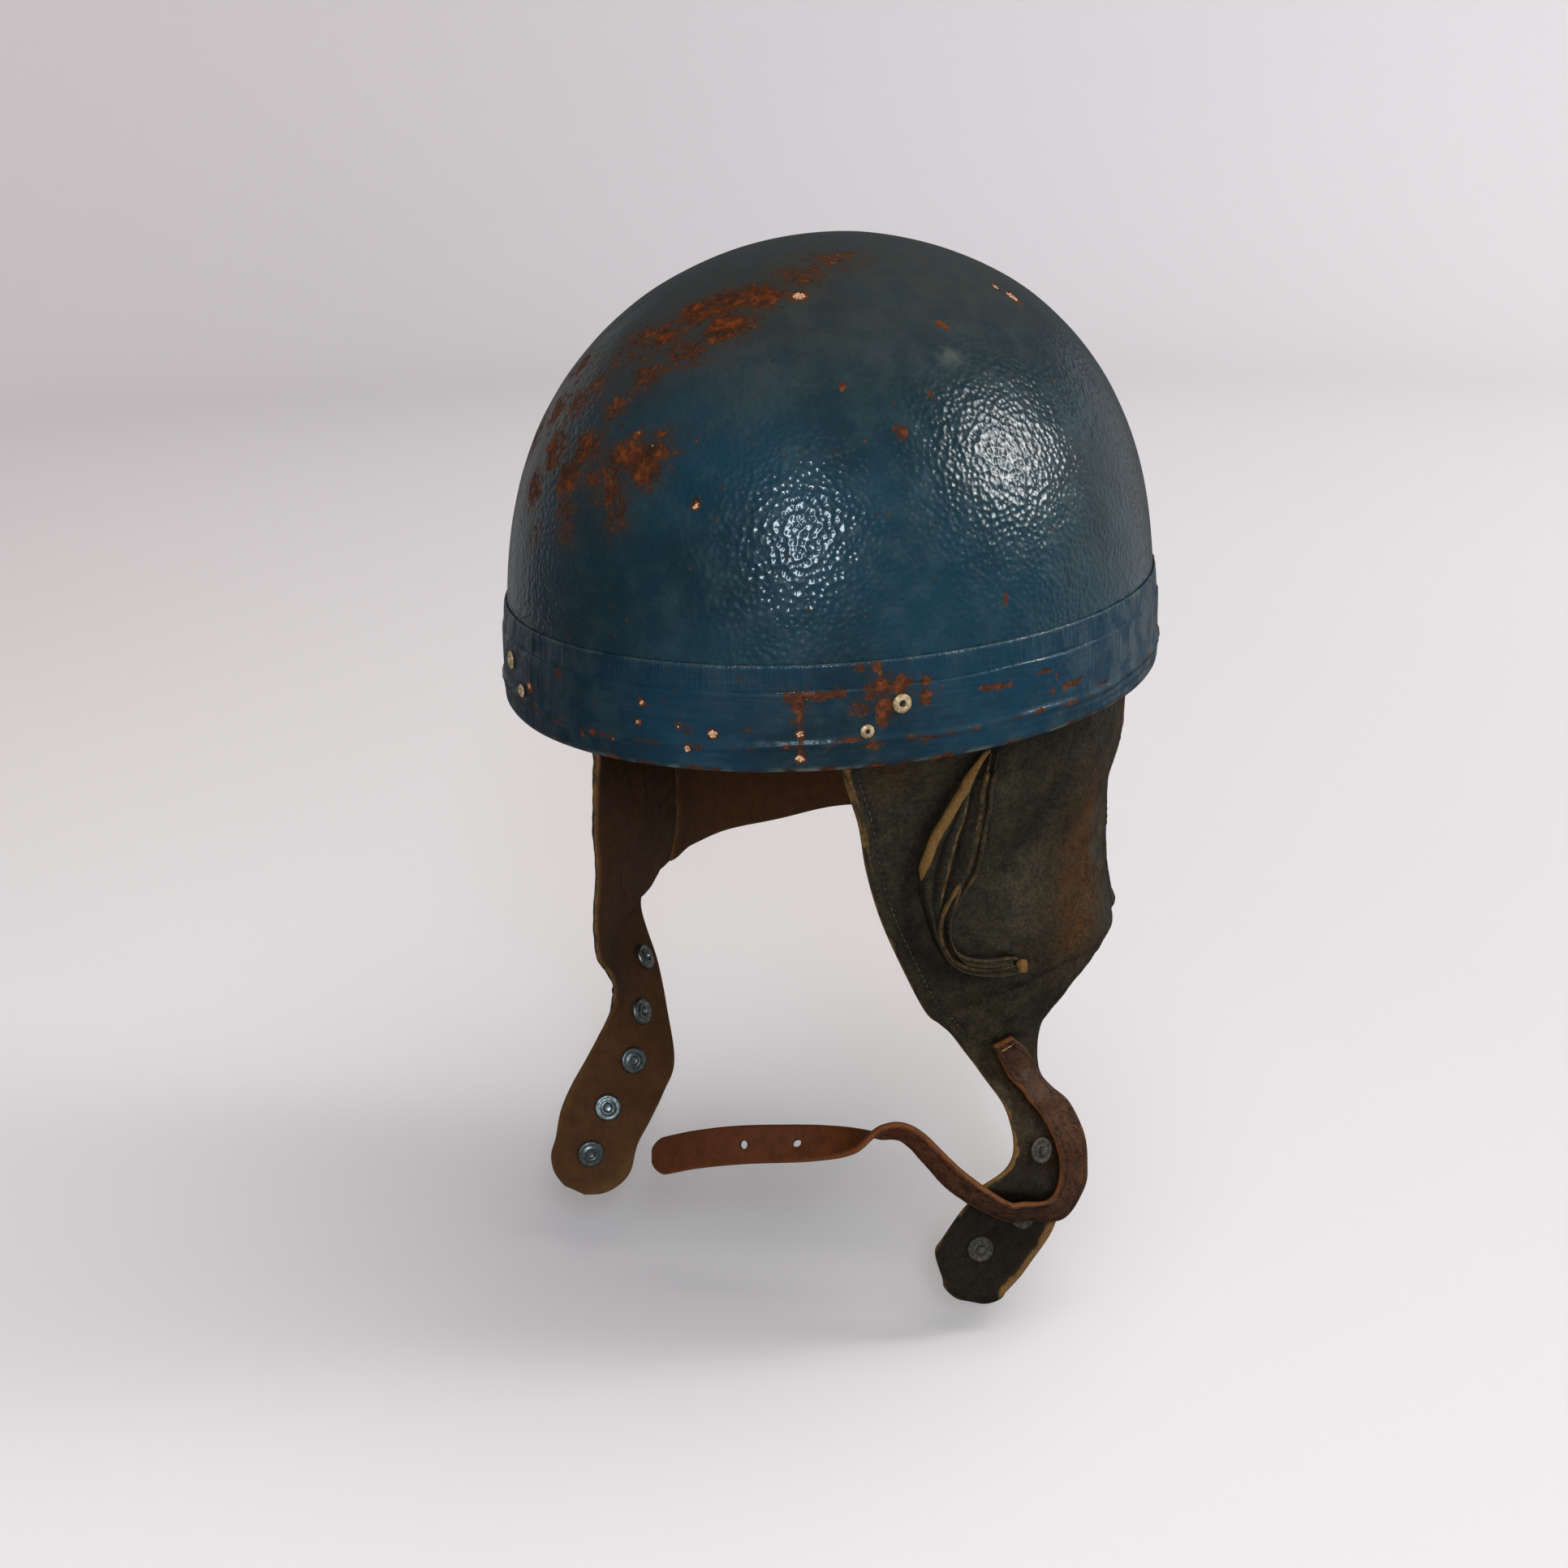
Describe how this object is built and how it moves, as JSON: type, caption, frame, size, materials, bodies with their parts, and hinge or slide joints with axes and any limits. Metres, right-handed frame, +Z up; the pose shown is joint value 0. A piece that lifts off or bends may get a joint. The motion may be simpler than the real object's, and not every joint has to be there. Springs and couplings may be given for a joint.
{
  "type": "pudding basin helmet",
  "caption": "Dark blue domed motorcycle helmet with a taped rim, leather ear flaps ending in press-stud chin tabs, a leather neck curtain and a loose punched chin strap.",
  "frame": {"origin": "centre of the head opening, in the plane of the shell's rim", "axes": "+Z up through the crown, -Y out of the face opening, +X towards the wearer's left"},
  "size_m": [0.2318, 0.2818, 0.3799],
  "materials": {
    "shell_paint": "worn dark blue paint on a moulded fibre shell, orange-peel gloss",
    "band_paint": "cloth tape painted over in the shell's dark blue",
    "flap_leather": "worn dark brown leather",
    "strap_leather": "orange-brown bridle leather",
    "snap_metal": "dull nickel plate",
    "rivet_metal": "tarnished brass"
  },
  "bodies": {
    "root": {"shell": "shell_paint", "edge_band": "band_paint", "rivet_lower_left": "rivet_metal", "rivet_lower_right": "rivet_metal", "rivet_upper_left": "rivet_metal", "rivet_upper_right": "rivet_metal", "snap_stud_1": "snap_metal", "snap_stud_2": "snap_metal", "snap_stud_3": "snap_metal", "snap_socket_1": "snap_metal", "snap_socket_2": "snap_metal", "snap_socket_3": "snap_metal", "snap_socket_4": "snap_metal", "snap_socket_5": "snap_metal", "ear_flap_left": "flap_leather", "ear_flap_right": "flap_leather", "ear_pocket_left": "flap_leather", "ear_pocket_right": "flap_leather", "neck_curtain": "flap_leather", "chin_strap": "strap_leather", "buckle_chape": "strap_leather", "strap_buckle": "snap_metal"}
  },
  "joints": []
}
